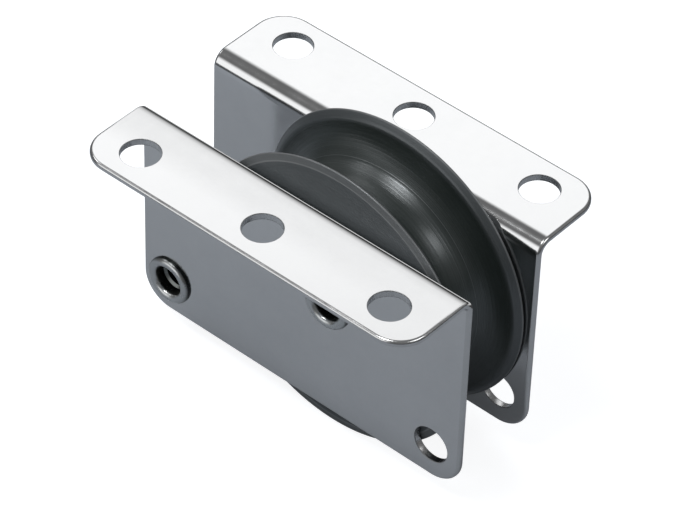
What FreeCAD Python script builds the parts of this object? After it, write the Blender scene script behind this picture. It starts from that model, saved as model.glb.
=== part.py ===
import FreeCAD, Part
import math
import os

# Sheave exit box. Two bent stainless cheeks are riveted together over two tubes, and a black
# grooved sheave turns on the upper tube. It drops into a slot in a mast or deck, with the
# flanges outside, and leads a rope out of the slot.
# Millimetres. X runs along the cheeks, Y across them, +Z points out of the mast or deck.
# The origin is the centre of the four corner holes, on the plane that the flanges seat on.

# Sheave
sheave_radius = 25.0
sheave_width = 14.3            # over the rims
sheave_stand_out = 8.5         # how far the rims stand out of the seating plane
groove_depth = 7.5
groove_arc_radius = 5.7        # the round floor that the rope lies in
lip_slope = 45.0               # degrees, from the groove's flank out to the crest of the rim
lip_blend_radius = 1.4         # between the flank and the lip
crest_radius = 0.2
crest_from_side = 0.36         # from the side face in to the middle of the crest's arc
rim_band_width = 1.2           # the faint bevel between the side face and the crest
hub_radius = 8.5
hub_rise = 0.05                # the hub rubs on the cheeks, and the rims stay clear
hub_step_run = 0.4             # how far the step from hub to side face is spread

# Tubes and rivets
rivet_radius = 3.1
rivet_bore_radius = 2.1
rivet_mouth_depth = 1.6        # the bore is wider from the rolled head in to here
mouth_step_length = 0.3
head_radius = 4.15
head_height = 0.9
roll_radius = 0.8              # of the rolled head's section
tube_radius = 5.0              # sleeve and spacer are cut from the same tube
tube_edge_chamfer = 0.25

# Cheeks
sheet_thickness = 1.2
bend_inside_radius = 1.5
axle_offset = 5.7              # the axle sits towards the end with the bare corner holes
end_cover = 1.3                # how far the cheeks reach past the rims at that end
web_below_axle = 21.6
flange_reach = 14.55           # from the outside of the web to the flange's edge
corner_radius = 5.3
sheet_edge_round = 0.5
hole_radius = 3.15             # all the holes, for 6 mm fasteners and for the rivets
mount_hole_from_end = 7.75
mount_hole_from_edge = 6.0
corner_hole_from_end = 5.5
corner_hole_from_bottom = 6.3

# Clearances
turning_clearance = 0.05       # sheave on its sleeve, per side
side_play = 0.05               # hub to cheek, per side
rivet_clearance = 0.05         # rivet in its tube, per side

# Worked out from the values above
gap_half = sheave_width / 2 + hub_rise + side_play
web_outside = gap_half + sheet_thickness
flange_edge = web_outside + flange_reach
half_length = axle_offset + sheave_radius + end_cover
axle_depth = sheave_radius - sheave_stand_out
web_bottom = axle_depth + web_below_axle
mount_hole_x = half_length - mount_hole_from_end
mount_hole_y = flange_edge - mount_hole_from_edge
corner_hole_x = half_length - corner_hole_from_end
corner_hole_z = corner_hole_from_bottom - web_bottom
bend_outside_radius = bend_inside_radius + sheet_thickness
bend_y = gap_half + bend_outside_radius
bend_z = -bend_inside_radius

axle_place = FreeCAD.Vector(axle_offset, 0, -axle_depth)
rivet_corner_place = FreeCAD.Vector(-corner_hole_x, 0, corner_hole_z)
bare_corner_place = FreeCAD.Vector(corner_hole_x, 0, corner_hole_z)

centre = FreeCAD.Vector(0, 0, 0)
along = FreeCAD.Vector(1, 0, 0)
across = FreeCAD.Vector(0, 1, 0)
upward = FreeCAD.Vector(0, 0, 1)
full_turn = 360
right_angle = 90
smooth_turn = 30               # degrees; faces that meet at less than this count as smooth


def line(start, end):
    return Part.LineSegment(start, end).toShape()


def arc(start, middle, end):
    return Part.Arc(start, middle, end).toShape()


def polyline(points):
    return [line(start, end) for start, end in zip(points, points[1:])]


def face_from(edges):
    return Part.Face(Part.Wire(Part.__sortEdges__(edges)))


def at(radius, y):
    """A point of a section that is turned about the Y axis."""
    return FreeCAD.Vector(radius, y, 0)


def around(middle, radius, angle):
    """A point on a section's arc. The angle is in degrees, from +Y towards larger radii."""
    turn = math.radians(angle)
    return middle + at(radius * math.sin(turn), radius * math.cos(turn))


def turned_on_axis(half_section, place):
    """Mirror half a section about the middle plane and turn it once about the Y axis at place."""
    edges = half_section + [edge.mirror(centre, across) for edge in half_section]
    solid = face_from(edges).revolve(centre, across, full_turn)
    solid.translate(place)
    return solid


def make_tube(place):
    """Sleeve or spacer between the cheeks, lightly chamfered outside at each end."""
    bore = rivet_radius + rivet_clearance
    return turned_on_axis(polyline([
        at(tube_radius, 0),
        at(tube_radius, gap_half - tube_edge_chamfer),
        at(tube_radius - tube_edge_chamfer, gap_half),
        at(bore, gap_half),
        at(bore, 0),
    ]), place)


def make_rivet(place):
    """A tube whose two ends are rolled over outside the cheeks."""
    roll_middle = at(head_radius - roll_radius, web_outside + head_height - roll_radius)
    lift = roll_middle.y - web_outside
    foot = at(roll_middle.x + math.sqrt(roll_radius ** 2 - lift ** 2), web_outside)
    mouth = around(roll_middle, roll_radius, -right_angle)
    step_y = web_outside - rivet_mouth_depth
    half_section = polyline([
        at(rivet_bore_radius, 0),
        at(rivet_bore_radius, step_y),
        at(mouth.x, step_y + mouth_step_length),
        mouth,
    ])
    half_section.append(arc(mouth, around(roll_middle, roll_radius, 0), foot))
    half_section += polyline([foot, at(rivet_radius, web_outside), at(rivet_radius, 0)])
    return turned_on_axis(half_section, place)


def make_sheave():
    side = sheave_width / 2
    bore = tube_radius + turning_clearance
    floor_middle = at(sheave_radius - groove_depth + groove_arc_radius, 0)
    crest_middle = at(sheave_radius - crest_radius, side - crest_from_side)

    # The lip is a cone that leaves the crest's arc at its slope and meets the groove's flank.
    lip_top = around(crest_middle, crest_radius, right_angle + lip_slope)
    lip_run = lip_top.y - groove_arc_radius
    lip_foot = at(lip_top.x - lip_run * math.tan(math.radians(lip_slope)), groove_arc_radius)

    # The band is a line from the edge of the side face that touches the crest's arc.
    band_edge = at(sheave_radius - rim_band_width, side)
    reach = band_edge - crest_middle
    band_angle = math.degrees(math.atan2(reach.x, reach.y) + math.acos(crest_radius / reach.Length))
    band_top = around(crest_middle, crest_radius, band_angle)

    half_section = [arc(
        at(sheave_radius - groove_depth, 0),
        around(floor_middle, groove_arc_radius, lip_slope - right_angle),
        around(floor_middle, groove_arc_radius, 0),
    )]
    half_section += polyline([around(floor_middle, groove_arc_radius, 0), lip_foot, lip_top])
    half_section.append(arc(
        lip_top,
        around(crest_middle, crest_radius, (right_angle + lip_slope + band_angle) / 2),
        band_top,
    ))
    half_section += polyline([
        band_top,
        band_edge,
        at(hub_radius + hub_step_run, side),
        at(hub_radius, side + hub_rise),
        at(bore, side + hub_rise),
        at(bore, 0),
    ])
    sheave = turned_on_axis(half_section, centre)
    lip_edges = [edge for edge in sheave.Edges if is_ring(edge, lip_foot)]
    sheave = sheave.makeFillet(lip_blend_radius, lip_edges)
    sheave.translate(axle_place)
    return sheave


def is_ring(edge, point):
    """Whether this edge is the circle that the section's point makes, on either side."""
    if edge.Curve.TypeId != "Part::GeomCircle":
        return False
    same_radius = abs(edge.Curve.Radius - point.x) < crest_radius / 2
    return same_radius and abs(abs(edge.Curve.Center.y) - point.y) < crest_radius / 2


def make_cheek(side):
    """side is -1 for the near cheek and 1 for the far one, which is bent the other way."""
    def corner(y, z):
        return FreeCAD.Vector(-half_length, side * y, z)

    def on_bend(radius):
        reach = radius * math.sqrt(0.5)
        return corner(bend_y - reach, bend_z + reach)

    section = polyline([
        corner(gap_half, bend_z),
        corner(gap_half, -web_bottom),
        corner(web_outside, -web_bottom),
        corner(web_outside, bend_z),
    ])
    section.append(arc(corner(web_outside, bend_z), on_bend(bend_inside_radius), corner(bend_y, 0)))
    section += polyline([
        corner(bend_y, 0),
        corner(flange_edge, 0),
        corner(flange_edge, sheet_thickness),
        corner(bend_y, sheet_thickness),
    ])
    bend_top = corner(bend_y, sheet_thickness)
    section.append(arc(bend_top, on_bend(bend_outside_radius), corner(gap_half, bend_z)))
    cheek = face_from(section).extrude(along * 2 * half_length)
    cheek = cheek.makeFillet(corner_radius, [edge for edge in cheek.Edges if is_free_corner(edge)])
    cheek = cheek.makeFillet(sheet_edge_round, sharp_edges(cheek))

    holes = [hole_along(FreeCAD.Vector(x, side * mount_hole_y, 0), upward) for x in mount_hole_places]
    holes += [hole_along(place, across) for place in (axle_place, rivet_corner_place, bare_corner_place)]
    return cheek.cut(holes)


mount_hole_places = (-mount_hole_x, 0, mount_hole_x)


def hole_along(place, direction):
    """A cutter that is long enough to pass through both cheeks."""
    return Part.makeCylinder(hole_radius, 2 * flange_edge, place - direction * flange_edge, direction)


def is_free_corner(edge):
    """The short edges across the sheet at the free corners of the flange and the web."""
    middle = edge.CenterOfMass
    at_end = abs(middle.x) > half_length - sheet_edge_round
    at_flange = abs(middle.y) > flange_edge - sheet_edge_round
    at_bottom = middle.z < sheet_edge_round - web_bottom
    across_sheet = edge.Length < sheet_thickness + sheet_edge_round
    return at_end and across_sheet and (at_flange or at_bottom)


def sharp_edges(shape):
    """The edges where two faces meet at an angle, and not the ones that run on smoothly."""
    found = []
    for edge in shape.Edges:
        middle = edge.valueAt((edge.FirstParameter + edge.LastParameter) / 2)
        faces = shape.ancestorsOfType(edge, Part.Face)
        normals = [face.normalAt(*face.Surface.parameter(middle)) for face in faces]
        if math.degrees(normals[0].getAngle(normals[-1])) > smooth_turn:
            found.append(edge)
    return found


pieces = {
    "near_cheek": make_cheek(-1),
    "far_cheek": make_cheek(1),
    "axle_sleeve": make_tube(axle_place),
    "corner_spacer": make_tube(rivet_corner_place),
    "axle_rivet": make_rivet(axle_place),
    "corner_rivet": make_rivet(rivet_corner_place),
    "sheave": make_sheave(),
}

os.makedirs("parts", exist_ok=True)
for name, solid in pieces.items():
    solid.exportStep(f"parts/{name}.step")
    print(name, "valid" if solid.isValid() else "not valid", round(solid.Volume, 1))
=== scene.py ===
import bpy
import math
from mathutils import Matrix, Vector


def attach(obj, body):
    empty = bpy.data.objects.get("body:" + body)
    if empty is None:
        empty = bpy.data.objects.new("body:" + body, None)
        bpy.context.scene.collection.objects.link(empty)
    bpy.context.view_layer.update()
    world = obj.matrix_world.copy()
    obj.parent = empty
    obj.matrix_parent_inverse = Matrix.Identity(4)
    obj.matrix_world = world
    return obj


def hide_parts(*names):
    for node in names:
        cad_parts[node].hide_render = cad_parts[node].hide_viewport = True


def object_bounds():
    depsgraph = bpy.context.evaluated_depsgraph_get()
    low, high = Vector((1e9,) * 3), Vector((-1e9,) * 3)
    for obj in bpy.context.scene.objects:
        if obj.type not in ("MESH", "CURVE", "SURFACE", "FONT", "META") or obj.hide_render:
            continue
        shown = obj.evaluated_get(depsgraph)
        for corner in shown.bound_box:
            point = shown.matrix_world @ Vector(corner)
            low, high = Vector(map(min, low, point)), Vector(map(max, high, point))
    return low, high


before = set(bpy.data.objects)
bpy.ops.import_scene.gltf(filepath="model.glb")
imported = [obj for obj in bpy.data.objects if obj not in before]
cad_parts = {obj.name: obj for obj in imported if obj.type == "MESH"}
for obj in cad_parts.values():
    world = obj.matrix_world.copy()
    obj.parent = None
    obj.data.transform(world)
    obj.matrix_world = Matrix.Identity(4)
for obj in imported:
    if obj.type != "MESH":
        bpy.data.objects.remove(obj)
cadLow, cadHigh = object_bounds()
print("Loaded the packed exit box:", ", ".join(sorted(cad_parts)))

mm = 0.001           # sizes are in millimetres, unless a note says metres
mergeUnder = 0.001   # vertices nearer to each other than this are one
squarely = 0.9       # a face looks along an axis if its normal does by more than this
quarterTurn = math.pi / 2

# the middles of the two rivets
axlePlace = (5.7, 0, -16.5)
cornerPlace = (-26.5, 0, -31.8)


# Hand tools

def deselectAll():
    bpy.ops.object.select_all(action="DESELECT")
    bpy.context.view_layer.objects.active = None


def pick(piece):
    deselectAll()
    piece.select_set(True)
    bpy.context.view_layer.objects.active = piece


def enterEdit():
    bpy.ops.object.mode_set(mode="EDIT")


def leaveEdit():
    bpy.ops.object.mode_set(mode="OBJECT")


def selectAll():
    bpy.ops.mesh.select_all(action="SELECT")


def selectWhere(piece, kind, wanted):
    # tests each vertex or face of the piece, and stays in edit mode
    bpy.ops.mesh.select_mode(type=kind)
    bpy.ops.mesh.select_all(action="DESELECT")
    leaveEdit()
    parts = piece.data.vertices if kind == "VERT" else piece.data.polygons
    for part in parts:
        part.select = wanted(part)
    enterEdit()


def extrude(x, y, z):
    # draws what is selected out by this much
    bpy.ops.mesh.extrude_region_move(
        TRANSFORM_OT_translate={"value": (x * mm, y * mm, z * mm)})


def startWire(name, x, y, z):
    # a small plane pulled together to one vertex, and carried to where the drawing starts
    deselectAll()
    bpy.ops.mesh.primitive_plane_add(size=mm, location=(0, 0, 0))
    piece = bpy.context.object
    piece.name = name
    piece.data.name = name
    enterEdit()
    bpy.ops.mesh.select_mode(type="VERT")
    bpy.ops.mesh.merge(type="CENTER")
    bpy.ops.transform.translate(value=(x * mm, y * mm, z * mm))
    return piece


def applyModifier(piece, kind, **settings):
    pick(piece)
    modifier = piece.modifiers.new(kind.title(), kind)
    for setting, value in settings.items():
        setattr(modifier, setting, value)
    bpy.ops.object.modifier_apply(modifier=modifier.name)


def smoothPiece(piece, degrees):
    # faces that meet at less than this angle look like one surface
    pick(piece)
    bpy.ops.object.shade_smooth_by_angle(angle=math.radians(degrees))
    applyModifier(piece, "WEIGHTED_NORMAL", keep_sharp=True)


def copyPiece(piece, name, move):
    pick(piece)
    bpy.ops.object.duplicate()
    twin = bpy.context.object
    twin.name = name
    twin.data.name = name
    enterEdit()
    selectAll()
    bpy.ops.transform.translate(value=move)
    leaveEdit()
    return twin


def giveFinish(piece, *finishes):
    piece.data.materials.clear()
    for finish in finishes:
        piece.data.materials.append(finish)


# Node helpers

def newFinish(name):
    finish = bpy.data.materials.new(name)
    finish.use_nodes = True
    return finish, finish.node_tree, finish.node_tree.nodes["Principled BSDF"]


def newMetal(name):
    finish, tree, shader = newFinish(name)
    shader.inputs["Metallic"].default_value = 1.0
    return finish, tree, shader


def addNode(tree, kind, inputs=None, **settings):
    # an input is another node's output, or a fixed value
    node = tree.nodes.new(kind)
    for setting, value in settings.items():
        setattr(node, setting, value)
    for socket, value in (inputs or {}).items():
        if isinstance(value, bpy.types.NodeSocket):
            tree.links.new(value, node.inputs[socket])
        else:
            node.inputs[socket].default_value = value
    return node


def calculate(tree, operation, *values, **settings):
    node = addNode(tree, "ShaderNodeMath", dict(enumerate(values)), operation=operation, **settings)
    return node.outputs[0]


def both(tree, first, second):
    return calculate(tree, "MULTIPLY", first, second)


def separate(tree, vector):
    return addNode(tree, "ShaderNodeSeparateXYZ", {0: vector}).outputs


def lengthOf(tree, vector):
    node = addNode(tree, "ShaderNodeVectorMath", {0: vector}, operation="LENGTH")
    return node.outputs["Value"]


def objectPlace(tree, centre=(0, 0, 0)):
    # a point's place in metres, counted from the centre
    place = addNode(tree, "ShaderNodeTexCoord").outputs["Object"]
    node = addNode(tree, "ShaderNodeVectorMath", {0: place, 1: [here * mm for here in centre]},
                   operation="SUBTRACT")
    return node.outputs[0]


def noiseOn(tree, vector, scale, detail, breakUp=0.5):
    return addNode(tree, "ShaderNodeTexNoise", {
        "Vector": vector, "Scale": scale, "Detail": detail, "Roughness": breakUp,
    }).outputs["Fac"]


def noise(tree, scale, *look):
    # the scale is in cycles per metre along X, Y and Z
    place = addNode(tree, "ShaderNodeTexCoord").outputs["Object"]
    stretched = addNode(tree, "ShaderNodeMapping", {"Vector": place, "Scale": scale})
    return noiseOn(tree, stretched.outputs[0], 1.0, *look)


def ramp(tree, value, low, high, start=0.0, end=1.0, **settings):
    return addNode(tree, "ShaderNodeMapRange", {
        "Value": value, "From Min": start, "From Max": end, "To Min": low, "To Max": high,
    }, **settings).outputs[0]


def fadeIn(tree, value, edge, full):
    return ramp(tree, value, 0.0, 1.0, edge, full, interpolation_type="SMOOTHSTEP")


def shareOver(tree, value, start, full):
    # nothing at the distance where it starts, and all where it is full
    return ramp(tree, value, 0.0, 1.0, start * mm, full * mm)


def blendColours(tree, share, first, second):
    node = addNode(tree, "ShaderNodeMix", {0: share, 6: first, 7: second}, data_type="RGBA")
    return node.outputs[2]


def addBump(tree, height, depth, below=None):
    # the depth is a strength and a distance, and below is the bump that this one lies over
    strength, distance = depth
    inputs = {"Strength": strength, "Distance": distance * mm, "Height": height}
    if below is not None:
        inputs["Normal"] = below
    return addNode(tree, "ShaderNodeBump", inputs).outputs[0]


def connect(tree, shader, colour, roughness, normal):
    tree.links.new(colour, shader.inputs["Base Color"])
    tree.links.new(roughness, shader.inputs["Roughness"])
    tree.links.new(normal, shader.inputs["Normal"])


# Finishes. A pattern is its scale in cycles per metre and its detail, with its break-up where
# that isn't the usual one. A depth is a bump's strength and distance.

mostOfNoise = (0.3, 0.7)  # nearly all of a noise lies between these

polish = {
    "smudges": ((130, 130, 130), 7.0, 0.85),
    "colours": ((0.565, 0.57, 0.575, 1), (0.675, 0.68, 0.685, 1)),
    "roughness": (0.09, 0.17),
    "roughnessOver": (0.3, 0.75),  # the part of the smudges that it is spread over
    "grain": ((60, 2200, 2200), 3.0),
    "grainDepth": (0.05, 0.01),
    "specks": ((900, 900, 900), 2.0),
    "speckDepth": (0.06, 0.02),
    "waves": ((55, 55, 55), 4.0),
    "waveDepth": (0.1, 0.1),
}


def makePolishedSteel():
    finish, tree, shader = newMetal("mirror_polished_stainless")
    smudges = noise(tree, *polish["smudges"])
    grain = addBump(tree, noise(tree, *polish["grain"]), polish["grainDepth"])
    specks = addBump(tree, noise(tree, *polish["specks"]), polish["speckDepth"], grain)
    waves = addBump(tree, noise(tree, *polish["waves"]), polish["waveDepth"], specks)
    connect(tree, shader, blendColours(tree, smudges, *polish["colours"]),
            ramp(tree, smudges, *polish["roughness"], *polish["roughnessOver"]), waves)
    return finish


sheetEdge = {
    "drag": ((420, 420, 420), 4.0),
    "colours": ((0.53, 0.535, 0.54, 1), (0.61, 0.615, 0.62, 1)),
    "roughness": (0.19, 0.27),
    "depth": (0.12, 0.02),
}
drawnSteel = {
    "drag": ((1500, 60, 1500), 3.0),
    "colours": ((0.50, 0.51, 0.52, 1), (0.62, 0.63, 0.64, 1)),
    "roughness": (0.18, 0.34),
    "depth": (0.2, 0.04),
}


def makeDraggedSteel(name, look):
    # one pattern, which a tool dragged over the steel has left
    finish, tree, shader = newMetal(name)
    drag = noise(tree, *look["drag"])
    connect(tree, shader, blendColours(tree, drag, *look["colours"]),
            ramp(tree, drag, *look["roughness"], *mostOfNoise), addBump(tree, drag, look["depth"]))
    return finish


punchedWall = {
    "detail": 3.0,
    "colours": ((0.44, 0.445, 0.45, 1), (0.60, 0.605, 0.61, 1)),
    "roughness": (0.20, 0.30),
    "depth": (0.05, 0.01),
    "rimFrom": (0.42, 0.5),  # from the middle of the sheet
    "rimColour": (0.26, 0.265, 0.27, 1),
    "rimRoughness": 0.5,
    # the streaks' scale, the hole's direction, and where the middle of its sheet is
    "inFlange": ((2600, 2600, 160), "Z", 0.6),
    "inWeb": ((2600, 160, 2600), "Y", 7.85),
}


def makePunchedWall(name, stretch, along, sheetMiddle):
    # the burnished streaks that a punch leaves along the hole, and the duller break over its rims
    finish, tree, shader = newMetal(name)
    streaks = noise(tree, stretch, punchedWall["detail"])
    beside = calculate(tree, "ABSOLUTE", separate(tree, objectPlace(tree))[along])
    fromMiddle = calculate(
        tree, "ABSOLUTE", calculate(tree, "SUBTRACT", beside, sheetMiddle * mm))
    rim = shareOver(tree, fromMiddle, *punchedWall["rimFrom"])
    burnished = blendColours(tree, streaks, *punchedWall["colours"])
    smooth = ramp(tree, streaks, *punchedWall["roughness"], *mostOfNoise)
    dull = both(tree, rim, punchedWall["rimRoughness"])
    connect(tree, shader, blendColours(tree, rim, burnished, punchedWall["rimColour"]),
            calculate(tree, "MAXIMUM", smooth, dull), addBump(tree, streaks, punchedWall["depth"]))
    return finish


def distanceFrom(tree, place):
    # how far a point is from the axis along Y through this place
    moved = separate(tree, objectPlace(tree, place))
    flat = addNode(tree, "ShaderNodeCombineXYZ", {"X": moved["X"], "Z": moved["Z"]})
    return lengthOf(tree, flat.outputs[0])


def besideMiddle(tree):
    # how far a point is from the middle plane between the cheeks
    return calculate(tree, "ABSOLUTE", separate(tree, objectPlace(tree))["Y"])


rolledHead = {
    "rub": ((500, 500, 500), 4.0),
    "colours": ((0.42, 0.435, 0.44, 1), (0.53, 0.545, 0.55, 1)),
    "roughness": (0.25, 0.33),
    "depth": (0.05, 0.03),
    # painted shade at the foot of each head and in its mouth: the radius and the distance
    # from the middle plane where that starts and where it is full
    "paintedShade": (
        {"radius": (3.3, 3.7), "beside": (9.2, 8.72), "colour": (0.025, 0.029, 0.029, 1)},
        {"radius": (2.8, 2.56), "beside": (9.0, 8.5), "colour": (0.15, 0.16, 0.155, 1)},
    ),
}


def makeRolledSteel():
    finish, tree, shader = newMetal("rolled_rivet_steel")
    rub = noise(tree, *rolledHead["rub"])
    radius = calculate(
        tree, "MINIMUM", distanceFrom(tree, axlePlace), distanceFrom(tree, cornerPlace))
    beside = besideMiddle(tree)
    colour = blendColours(tree, rub, *rolledHead["colours"])
    # painted shade darkens the foot and the mouth of each head
    for paintedShade in rolledHead["paintedShade"]:
        share = both(tree, shareOver(tree, radius, *paintedShade["radius"]),
                     shareOver(tree, beside, *paintedShade["beside"]))
        colour = blendColours(tree, share, colour, paintedShade["colour"])
    connect(tree, shader, colour, ramp(tree, rub, *rolledHead["roughness"], *mostOfNoise),
            addBump(tree, rub, rolledHead["depth"]))
    return finish


acetal = {
    "haze": ((140, 140, 140), 4.0),
    "colours": ((0.019, 0.025, 0.023, 1), (0.026, 0.033, 0.031, 1)),
    "specular": 0.9,
    "specularTint": (0.92, 0.97, 1.0, 1),
    "roughness": (0.27, 0.39),
    "sideRoughness": 0.52,  # the side faces and the bands are left duller than the groove
    "dullFrom": (6.8, 7.0),
    # rings round the axle: cycles per metre and detail
    "fineRings": (4200.0, 2.0),
    "fineDepth": (0.7, 0.06),
    "coarseRings": (1300.0, 4.0),
    "coarseDepth": (0.45, 0.12),
    "scratchRings": (6500.0, 1.0),
    "scratchOver": (0.62, 0.72),  # the part of the noise that leaves a scratch
    "scratchShare": 0.5,
    # where each paler place starts and is full, from the middle plane or from the axle
    # painted light: the side faces are painted paler than the groove
    "sideFace": (7.0, 7.1),
    "sidePaintedLight": (0.034, 0.041, 0.045, 1),
    "groove": (5.6, 5.4),
    "scratchColour": (0.085, 0.093, 0.097, 1),
    # painted sheen: the lips are painted paler where light from the front catches them
    "lip": (23.3, 24.1),
    "lipPaintedSheen": (0.045, 0.051, 0.054, 1),
    # painted sheen: the bands round the rims are painted paler, for the light that their slope
    # catches
    "bandBeside": (6.75, 6.95),
    "band": (23.7, 23.9),
    "bandPaintedSheen": (0.072, 0.078, 0.081, 1),
    # painted highlight: a pale line along the inner edge of each band
    "footRadius": 23.8,
    "fromFoot": (0.16, 0.08),     # to each side of footRadius
    "footPaintedHighlight": (0.13, 0.136, 0.14, 1),
    # painted highlight: a pale line along each crest
    "crest": (24.86, 24.94),
    "crestPaintedHighlight": (0.14, 0.145, 0.15, 1),
}


def makeTurnedAcetal():
    # the tool's rings run round the axle, so they are read from the distance to it and along it
    finish, tree, shader = newFinish("turned_black_acetal")
    radius = distanceFrom(tree, axlePlace)
    beside = besideMiddle(tree)
    section = addNode(tree, "ShaderNodeCombineXYZ", {"X": radius, "Y": beside}).outputs[0]
    coarse = noiseOn(tree, section, *acetal["coarseRings"])
    scratches = ramp(tree, noiseOn(tree, section, *acetal["scratchRings"]),
                     0.0, acetal["scratchShare"], *acetal["scratchOver"])
    fromFoot = calculate(
        tree, "ABSOLUTE", calculate(tree, "SUBTRACT", radius, acetal["footRadius"] * mm))
    outer = shareOver(tree, beside, *acetal["bandBeside"])

    # painted light: side faces and lips painted greyer, a painted sheen on the rim bands, and
    # painted highlight lines at the bands' inner edges and on the crests; the pale scratches are
    # the lines that the tool leaves
    colour = blendColours(tree, noise(tree, *acetal["haze"]), *acetal["colours"])
    for share, paler in (
        (shareOver(tree, beside, *acetal["sideFace"]), "sidePaintedLight"),
        (both(tree, scratches, shareOver(tree, beside, *acetal["groove"])), "scratchColour"),
        (shareOver(tree, radius, *acetal["lip"]), "lipPaintedSheen"),
        (both(tree, outer, shareOver(tree, radius, *acetal["band"])), "bandPaintedSheen"),
        (both(tree, outer, shareOver(tree, fromFoot, *acetal["fromFoot"])), "footPaintedHighlight"),
        (shareOver(tree, radius, *acetal["crest"]), "crestPaintedHighlight"),
    ):
        colour = blendColours(tree, share, colour, acetal[paler])
    shader.inputs["Specular IOR Level"].default_value = acetal["specular"]
    shader.inputs["Specular Tint"].default_value = acetal["specularTint"]
    satin = ramp(tree, coarse, *acetal["roughness"], *mostOfNoise)
    dull = both(tree, shareOver(tree, beside, *acetal["dullFrom"]), acetal["sideRoughness"])
    fine = addBump(tree, noiseOn(tree, section, *acetal["fineRings"]), acetal["fineDepth"])
    connect(tree, shader, colour, calculate(tree, "MAXIMUM", satin, dull),
            addBump(tree, coarse, acetal["coarseDepth"], fine))
    return finish


polishedSteel = makePolishedSteel()
shearedEdge = makeDraggedSteel("tumbled_sheet_edge", sheetEdge)
punchedDown = makePunchedWall("punched_wall_flange", *punchedWall["inFlange"])
punchedAcross = makePunchedWall("punched_wall_web", *punchedWall["inWeb"])
rolledSteel = makeRolledSteel()
drawnTube = makeDraggedSteel("drawn_tube_steel", drawnSteel)
turnedAcetal = makeTurnedAcetal()
print("Mixed the finishes")


# Cheeks

cheek = {
    "thickness": 1.2,
    "bendInside": 1.5,
    "insideY": 7.25,         # from the middle to the web's inner face
    "webBottom": 38.1,
    "flangeEdge": 23.0,
    "halfLength": 32.0,
    "cornerRadius": 5.3,
    "edgeRound": 0.5,
    "sharpFrom": 50,         # degrees between the faces at an edge that gets rounded
    "holeRadius": 3.15,
    "rimRound": 0.12,        # the broken edge of each hole
    "punchOver": 0.004,      # the punch's last slope stands this far out, to cut the face cleanly
    "flangeHolesX": (-24.25, 0, 24.25),
    "flangeHolesY": 17.0,
    "webHoles": (axlePlace, cornerPlace, (26.5, 0, -31.8)),
    "onEdge": 0.01,          # a vertex that is nearer to an edge than this is on it
    "bendSteps": 20,
    "cornerSteps": 14,
    "edgeSteps": 6,
    "rimSteps": 5,
    "holeSides": 96,
    "smoothUnder": 30,
}


def makePunch(x, y, z, turn, wall):
    # as wide as the hole inside the sheet, and flared at both faces by the rounding of the rim
    rim = cheek["rimRound"]
    deselectAll()
    bpy.ops.mesh.primitive_cylinder_add(
        vertices=cheek["holeSides"], radius=cheek["holeRadius"] * mm,
        depth=(cheek["thickness"] + 2 * (cheek["punchOver"] - rim)) * mm, location=(0, 0, 0))
    punch = bpy.context.object
    for side in (-1, 1):
        pick(punch)
        enterEdit()
        selectWhere(punch, "FACE", lambda face: face.normal.z * side > squarely)
        reach = cheek["holeRadius"]
        rise = 0
        for step in range(1, cheek["rimSteps"] + 1):
            angle = step / cheek["rimSteps"] * quarterTurn
            wide = cheek["holeRadius"] + rim * (1 - math.cos(angle))
            up = rim * math.sin(angle)
            extrude(0, 0, side * (up - rise))
            bpy.ops.transform.resize(
                value=(wide / reach, wide / reach, 1), center_override=(0, 0, 0))
            reach = wide
            rise = up
        extrude(0, 0, side)
        leaveEdit()
    giveFinish(punch, wall)
    punch.location = (x * mm, y * mm, z * mm)
    punch.rotation_euler = (turn, 0, 0)
    return punch


def cutHole(piece, x, y, z, turn, wall):
    punch = makePunch(x, y, z, turn, wall)
    applyModifier(piece, "BOOLEAN", object=punch, operation="DIFFERENCE", solver="EXACT",
                  material_mode="TRANSFER")
    bpy.data.objects.remove(punch)


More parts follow.
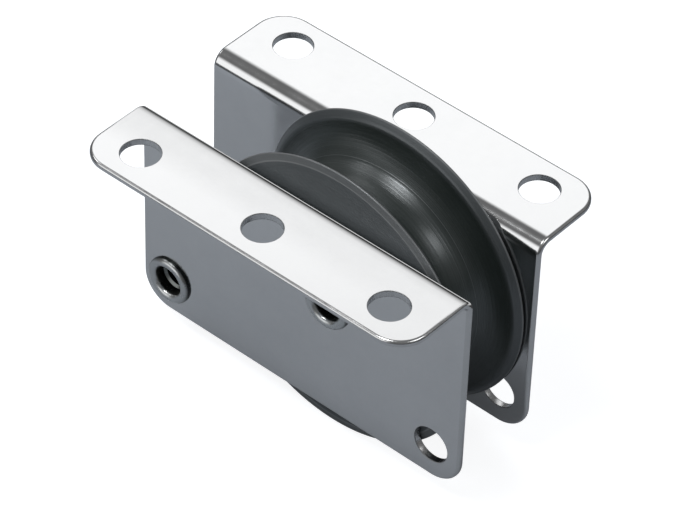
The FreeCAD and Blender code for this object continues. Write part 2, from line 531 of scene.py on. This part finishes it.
def makeCheek(name, side):
    # the skin towards the sheave and the sky is drawn as a wire, swept along and thickened behind
    end = -cheek["halfLength"]
    bendY = cheek["insideY"] + cheek["bendInside"] + cheek["thickness"]
    bendZ = -cheek["bendInside"]
    piece = startWire(name, end, side * cheek["insideY"], -cheek["webBottom"])
    extrude(0, 0, bendZ + cheek["webBottom"])
    bpy.ops.mesh.spin(steps=cheek["bendSteps"], angle=side * quarterTurn, axis=(1, 0, 0),
                      center=(end * mm, side * bendY * mm, bendZ * mm))
    extrude(0, side * (cheek["flangeEdge"] - bendY), 0)
    selectAll()
    extrude(2 * cheek["halfLength"], 0, 0)

    def isFreeCorner(vertex):
        spot = vertex.co / mm
        atFlange = abs(spot.y) > cheek["flangeEdge"] - cheek["onEdge"]
        atBottom = spot.z < cheek["onEdge"] - cheek["webBottom"]
        atEnd = abs(spot.x) > cheek["halfLength"] - cheek["onEdge"]
        return atEnd and (atFlange or atBottom)

    selectWhere(piece, "VERT", isFreeCorner)
    bpy.ops.mesh.bevel(affect="VERTICES", offset=cheek["cornerRadius"] * mm,
                       segments=cheek["cornerSteps"], profile=0.5)
    selectAll()
    bpy.ops.mesh.normals_make_consistent(inside=False)
    leaveEdit()
    flange = max(piece.data.polygons, key=lambda face: face.center.z)
    if flange.normal.z < 0:
        enterEdit()
        selectAll()
        bpy.ops.mesh.flip_normals()
        leaveEdit()
    giveFinish(piece, polishedSteel, shearedEdge)
    applyModifier(piece, "SOLIDIFY", thickness=cheek["thickness"] * mm, offset=-1,
                  use_even_offset=True, material_offset_rim=1)
    applyModifier(piece, "BEVEL", width=cheek["edgeRound"] * mm, segments=cheek["edgeSteps"],
                  limit_method="ANGLE", angle_limit=math.radians(cheek["sharpFrom"]), material=1)
    inSheet = cheek["thickness"] / 2
    for x in cheek["flangeHolesX"]:
        cutHole(piece, x, side * cheek["flangeHolesY"], inSheet, 0, punchedDown)
    inWeb = side * (cheek["insideY"] + inSheet)
    for x, middle, z in cheek["webHoles"]:
        cutHole(piece, x, middle + inWeb, z, quarterTurn, punchedAcross)
    smoothPiece(piece, cheek["smoothUnder"])
    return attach(piece, "box")


nearCheek = makeCheek("near_cheek_polished", -1)
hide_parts("near_cheek")
farCheek = makeCheek("far_cheek_polished", 1)
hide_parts("far_cheek")
print("Bent, rounded and punched both cheeks")


# Turned pieces

fewestSteps = 3  # in an arc


def drawSection(name, place, stops):
    # a stop is a radius and a distance along the axle, and after an arc also the middle of that
    # arc and the degrees in one of its steps
    radius, along = stops[0]
    piece = startWire(name, place[0] + radius, along, place[2])
    for stop in stops[1:]:
        if len(stop) == 2:
            extrude(stop[0] - radius, stop[1] - along, 0)
        else:
            centre = Vector(stop[2])
            first = Vector((radius, along)) - centre
            last = Vector(stop[:2]) - centre
            sweep = math.atan2(first.x * last.y - first.y * last.x, first.dot(last))
            steps = max(fewestSteps, round(abs(math.degrees(sweep)) / stop[3]))
            bpy.ops.mesh.spin(steps=steps, angle=-sweep, axis=(0, 0, 1), center=(
                (place[0] + centre.x) * mm, centre.y * mm, place[2] * mm))
        radius, along = stop[:2]
    leaveEdit()
    return piece


def turnPiece(piece, place, steps):
    applyModifier(piece, "MIRROR", use_axis=(False, True, False), use_mirror_merge=True,
                  merge_threshold=mergeUnder * mm)
    enterEdit()
    selectAll()
    bpy.ops.mesh.spin(steps=steps, angle=2 * math.pi, axis=(0, 1, 0),
                      center=(place[0] * mm, 0, place[2] * mm))
    selectAll()
    bpy.ops.mesh.remove_doubles(threshold=mergeUnder * mm)
    bpy.ops.mesh.normals_make_consistent(inside=False)
    leaveEdit()


def roundCorner(before, corner, after, radius, degreesPerStep):
    # the two stops that stand for a rounded corner of a section
    corner = Vector(corner)
    goIn = (corner - Vector(before)).normalized()
    goOut = (Vector(after) - corner).normalized()
    turn = goIn.angle(goOut)
    reach = radius * math.tan(turn / 2)
    start = corner - goIn * reach
    end = corner + goOut * reach
    centre = corner + (goOut - goIn).normalized() * (radius / math.cos(turn / 2))
    return [tuple(start), (end.x, end.y, tuple(centre), degreesPerStep)]


sheaveSizes = {
    "radius": 25.0,
    "halfWidth": 7.15,       # over the rims
    "grooveDepth": 7.5,
    "grooveArc": 5.7,
    "grooveStep": 4,         # degrees in one step of an arc, as in the other steps
    "lipSlope": 45,
    "lipBlend": 1.4,
    "blendStep": 6,
    "crestRadius": 0.2,
    "crestFromSide": 0.36,
    "crestStep": 15,
    "bandWidth": 1.2,
    "bandEdgeRound": 0.12,
    "bandStep": 8,
    "hubRadius": 8.5,
    "hubRise": 0.05,
    "hubStep": 0.4,          # how far the slope up to the hub is spread
    "bore": 5.05,
    "sides": 240,
    "smoothUnder": 25,
}


def makeSheave():
    size = sheaveSizes
    side = size["halfWidth"]
    floor = size["radius"] - size["grooveDepth"]
    slope = math.radians(size["lipSlope"])
    crest = Vector((size["radius"] - size["crestRadius"], side - size["crestFromSide"]))

    def onCrest(angle):
        return crest + size["crestRadius"] * Vector((math.sin(angle), math.cos(angle)))

    lipTop = onCrest(quarterTurn + slope)
    lipRun = (lipTop.y - size["grooveArc"]) * math.tan(slope)
    lipFoot = Vector((lipTop.x - lipRun, size["grooveArc"]))
    bandEdge = Vector((size["radius"] - size["bandWidth"], side))
    reach = bandEdge - crest
    bandTop = onCrest(math.atan2(reach.x, reach.y) + math.acos(size["crestRadius"] / reach.length))
    flank = (floor + size["grooveArc"], size["grooveArc"])
    outermost = (size["radius"], crest.y)
    hubEdge = (size["hubRadius"] + size["hubStep"], side)
    hubSide = side + size["hubRise"]
    piece = drawSection("sheave_turned", axlePlace, [
        (floor, 0),
        (*flank, (flank[0], 0), size["grooveStep"]),
        *roundCorner(flank, lipFoot, lipTop, size["lipBlend"], size["blendStep"]),
        tuple(lipTop),
        (*outermost, tuple(crest), size["crestStep"]),
        (*bandTop, tuple(crest), size["crestStep"]),
        *roundCorner(bandTop, bandEdge, hubEdge, size["bandEdgeRound"], size["bandStep"]),
        hubEdge,
        (size["hubRadius"], hubSide),
        (size["bore"], hubSide),
        (size["bore"], 0),
    ])
    turnPiece(piece, axlePlace, size["sides"])
    giveFinish(piece, turnedAcetal)
    smoothPiece(piece, size["smoothUnder"])
    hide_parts("sheave")
    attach(piece, "sheave")


makeSheave()
print("Turned the sheave")

rivet = {
    "radius": 3.1,
    "bore": 2.1,
    "mouthDepth": 1.6,
    "mouthStep": 0.3,
    "seat": 8.45,            # the outside of the web that the head is rolled against
    "headRadius": 4.15,
    "headHeight": 0.9,
    "rollRadius": 0.8,
    "rollStep": 6,           # degrees in one step of the roll
    "sides": 128,
    "smoothUnder": 35,
}


def makeRivet(name, place):
    rollRadius = rivet["headRadius"] - rivet["rollRadius"]
    rollAlong = rivet["seat"] + rivet["headHeight"] - rivet["rollRadius"]
    roll = (rollRadius, rollAlong)
    mouth = rollRadius - rivet["rollRadius"]
    foot = rollRadius + math.sqrt(rivet["rollRadius"] ** 2 - (rollAlong - rivet["seat"]) ** 2)
    step = rivet["seat"] - rivet["mouthDepth"]
    piece = drawSection(name, place, [
        (rivet["bore"], 0),
        (rivet["bore"], step),
        (mouth, step + rivet["mouthStep"]),
        (mouth, rollAlong),
        (rollRadius, rollAlong + rivet["rollRadius"], roll, rivet["rollStep"]),
        (foot, rivet["seat"], roll, rivet["rollStep"]),
        (rivet["radius"], rivet["seat"]),
        (rivet["radius"], 0),
    ])
    turnPiece(piece, place, rivet["sides"])
    giveFinish(piece, rolledSteel)
    smoothPiece(piece, rivet["smoothUnder"])
    return piece


tube = {
    "radius": 5.0,
    "bore": 3.15,
    "halfLength": 7.25,
    "chamfer": 0.25,
    "sides": 128,
    "smoothUnder": 25,
}


def makeTube(name, place):
    piece = drawSection(name, place, [
        (tube["radius"], 0),
        (tube["radius"], tube["halfLength"] - tube["chamfer"]),
        (tube["radius"] - tube["chamfer"], tube["halfLength"]),
        (tube["bore"], tube["halfLength"]),
        (tube["bore"], 0),
    ])
    turnPiece(piece, place, tube["sides"])
    giveFinish(piece, drawnTube)
    smoothPiece(piece, tube["smoothUnder"])
    return piece


toCorner = tuple((there - here) * mm for here, there in zip(axlePlace, cornerPlace))
axleRivet = makeRivet("axle_rivet_rolled", axlePlace)
cornerRivet = copyPiece(axleRivet, "corner_rivet_rolled", toCorner)
axleSleeve = makeTube("axle_sleeve_drawn", axlePlace)
cornerSpacer = copyPiece(axleSleeve, "corner_spacer_drawn", toCorner)
for piece, node, slot in (
    (axleRivet, "axle_rivet", "rivet_steel"),
    (cornerRivet, "corner_rivet", "rivet_steel"),
    (axleSleeve, "axle_sleeve", "tube_steel"),
    (cornerSpacer, "corner_spacer", "tube_steel"),
):
    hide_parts(node)
    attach(piece, "box")
print("Rolled the rivets and cut the tubes")


# Studio

studio = {
    "aim": (0, 0, -15),
    # azimuth from the front towards +X, elevation, distance, width and height in metres,
    # brightness, and the share of each softbox that fades out at its sides, top and bottom
    "lamps": {
        "key_overhead": (-27, 68, 1.0, 0.36, 0.36, 18.5, (0.22, 0.3, 0.3)),
        "key_left": (-78, 43, 1.0, 0.45, 0.30, 4.0, (0.3, 0.4, 0.3)),
        "side_right": (100, 42, 1.0, 0.80, 0.36, 3.8, (0.3, 0.2, 0.2)),
        "back_panel": (-140, 45, 1.0, 0.85, 0.62, 1.36, (0.1, 0.6, 0.12)),
        "front_panel": (-17, 21, 0.3, 0.36, 0.26, 1.26, (0.12, 0.42, 0.10)),
    },
    "worldGrey": 0.12,
    "worldInSteel": 0.085,         # the share of white that the metal sees there
    "floorColour": (0.43, 0.462, 0.505, 1),
    # painted shade on the floor, which the metal reflects: darker towards the right
    "floorShadedRight": (0.385, 0.413, 0.452, 1),
    "floorTurn": (-0.045, 0.025),  # metres along X, over which a painted shade darkens the floor towards the right
    # painted shade: the floor far off
    "floorShadedFar": (0.07, 0.075, 0.08, 1),
    "floorReach": (0.13, 0.17),    # metres from the middle, over which a painted shade darkens the floor far off
    "floorGlow": 0.85,
    "floorInSteel": 0.02,
    "floorSize": 6,                # metres
    "floorBelow": 0.1,
}
# a card in front of the sheave's near side, which only the near flange and its bend show: a painted
# reflection in place of the sheave's dark side
card = {
    "from": (-42, -7.2, -1.3),
    "to": (33, -7.2, 14),
    "clearFrom": 8.5,              # from this height up it fades to nothing
    "level": 1.38,
    # heights, each with its share of the brightness
    "tones": ((-0.4, 0.05), (-0.22, 0.62), (0.3, 0.62), (0.45, 0.03), (1.0, 0.03), (2.2, 0.6),
              (3.3, 0.78), (4.5, 0.91), (6.0, 0.98)),
    "unseenBy": ("camera", "diffuse", "transmission", "volume_scatter", "shadow"),
}
camera = {
    "location": (0.27106, -0.32486, 0.37555),  # metres
    "rotation": (47.2407, -1.5529, 41.0070),
    "lens": 196.85,
    "clipStart": 0.01,                         # metres
}


def addSoftbox(name, azimuth, elevation, distance, width, height, level, fades):
    across = math.radians(azimuth)
    up = math.radians(elevation)
    flat = math.cos(up)
    towards = Vector((math.sin(across) * flat, -math.cos(across) * flat, math.sin(up)))
    bpy.ops.object.light_add(type="AREA", location=Vector(studio["aim"]) * mm + towards * distance,
                             rotation=towards.to_track_quat("Z", "Y").to_euler())
    lamp = bpy.context.object
    lamp.name = name
    lamp.data.shape = "RECTANGLE"
    lamp.data.size = width
    lamp.data.size_y = height
    lamp.data.energy = level * math.pi * width * height
    lamp.data.use_nodes = True
    lamp.visible_camera = False

    # the cloth of the softbox is darker towards its edges
    tree = lamp.data.node_tree
    cloth = separate(tree, addNode(tree, "ShaderNodeNewGeometry").outputs["Parametric"])
    sides, top, bottom = fades
    share = fadeIn(tree, cloth["X"], 0.0, sides)
    for way, edge, full in (("X", 1.0, 1.0 - sides), ("Y", 0.0, bottom), ("Y", 1.0, 1.0 - top)):
        share = both(tree, share, fadeIn(tree, cloth[way], edge, full))
    tree.links.new(share, tree.nodes["Emission"].inputs["Strength"])


def makeCardGlow(low, high):
    # it glows towards the near flange alone, and is clear from behind; its tones by height are a
    # painted reflection
    finish = bpy.data.materials.new("painted_reflection_card_glow")
    finish.use_nodes = True
    tree = finish.node_tree
    tree.nodes.clear()
    height = separate(tree, addNode(tree, "ShaderNodeTexCoord").outputs["Object"])["Z"]
    tones = addNode(tree, "ShaderNodeValToRGB", {"Fac": ramp(tree, height, 0.0, 1.0, low, high)})
    stops = tones.color_ramp.elements
    ready = len(stops)
    for order, (where, tone) in enumerate(card["tones"]):
        share = (where * mm - low) / (high - low)
        stop = stops[order] if order < ready else stops.new(share)
        stop.position = share
        stop.color = (tone, tone, tone, 1)
    glow = addNode(tree, "ShaderNodeEmission", {
        "Color": tones.outputs["Color"], "Strength": card["level"],
    })
    clear = addNode(tree, "ShaderNodeBsdfTransparent")
    behind = addNode(tree, "ShaderNodeNewGeometry").outputs["Backfacing"]
    fading = ramp(tree, height, 0.0, 1.0, card["clearFrom"] * mm, high)
    mixed = addNode(tree, "ShaderNodeMixShader", {
        0: calculate(tree, "MAXIMUM", behind, fading), 1: glow.outputs[0], 2: clear.outputs[0],
    })
    addNode(tree, "ShaderNodeOutputMaterial", {"Surface": mixed.outputs[0]})
    return finish


def addCard():
    low = Vector(card["from"]) * mm
    high = Vector(card["to"]) * mm
    deselectAll()
    bpy.ops.mesh.primitive_plane_add(size=1, location=(0, 0, 0))
    piece = bpy.context.object
    piece.name = "painted_reflection_card"
    enterEdit()
    bpy.ops.transform.resize(
        value=(high.x - low.x, high.z - low.z, 1), center_override=(0, 0, 0))
    bpy.ops.transform.rotate(value=-quarterTurn, orient_axis="X", center_override=(0, 0, 0))
    bpy.ops.transform.translate(value=(low + high) / 2)
    leaveEdit()
    giveFinish(piece, makeCardGlow(low.z, high.z))
    for ray in card["unseenBy"]:
        setattr(piece, "visible_" + ray, False)


def backdropShare(tree, metalShare):
    # the camera sees white, and the metal sees a share of it
    rays = addNode(tree, "ShaderNodeLightPath").outputs
    metal = both(tree, rays["Is Glossy Ray"], metalShare)
    seen = calculate(tree, "ADD", rays["Is Camera Ray"], metal)
    return calculate(tree, "ADD", seen, rays["Is Transmission Ray"], use_clamp=True)


def makeFloor():
    deselectAll()
    bpy.ops.mesh.primitive_plane_add(
        size=studio["floorSize"], location=(0, 0, cadLow.z - studio["floorBelow"] * mm))
    floor = bpy.context.object
    floor.name = "studio_floor"
    finish, tree, shader = newFinish("pale_floor")
    shader.inputs["Roughness"].default_value = 1.0
    shader.inputs["Specular IOR Level"].default_value = 0.0
    shader.inputs["Emission Color"].default_value = (1, 1, 1, 1)
    # the colour is painted darker to the right and far off: painted shade, which the metal reflects
    place = objectPlace(tree)
    farShade = ramp(tree, lengthOf(tree, place), 0.0, 1.0, *studio["floorReach"])
    rightShade = ramp(tree, separate(tree, place)["X"], 0.0, 1.0, *studio["floorTurn"])
    near = blendColours(tree, rightShade, studio["floorColour"], studio["floorShadedRight"])
    colour = blendColours(tree, farShade, near, studio["floorShadedFar"])
    tree.links.new(colour, shader.inputs["Base Color"])
    glow = both(tree, backdropShare(tree, studio["floorInSteel"]), studio["floorGlow"])
    tree.links.new(glow, shader.inputs["Emission Strength"])
    giveFinish(floor, finish)


def makeWorld():
    world = bpy.data.worlds.new("studio_world")
    bpy.context.scene.world = world
    world.use_nodes = True
    tree = world.node_tree
    tree.nodes.clear()
    grey = studio["worldGrey"]
    shade = blendColours(tree, backdropShare(tree, studio["worldInSteel"]),
                         (grey, grey, grey, 1), (1, 1, 1, 1))
    sky = addNode(tree, "ShaderNodeBackground", {"Color": shade})
    addNode(tree, "ShaderNodeOutputWorld", {"Surface": sky.outputs[0]})


def setCamera():
    deselectAll()
    bpy.ops.object.camera_add(location=camera["location"],
                              rotation=[math.radians(turn) for turn in camera["rotation"]])
    viewer = bpy.context.object
    viewer.name = "catalogue_camera"
    viewer.data.lens = camera["lens"]
    viewer.data.clip_start = camera["clipStart"]
    bpy.context.scene.camera = viewer
    bpy.context.scene.view_settings.view_transform = "Standard"


for lampName, lampSizes in studio["lamps"].items():
    addSoftbox(lampName, *lampSizes)
addCard()
makeFloor()
makeWorld()
setCamera()
print("Lit the studio and set the camera")
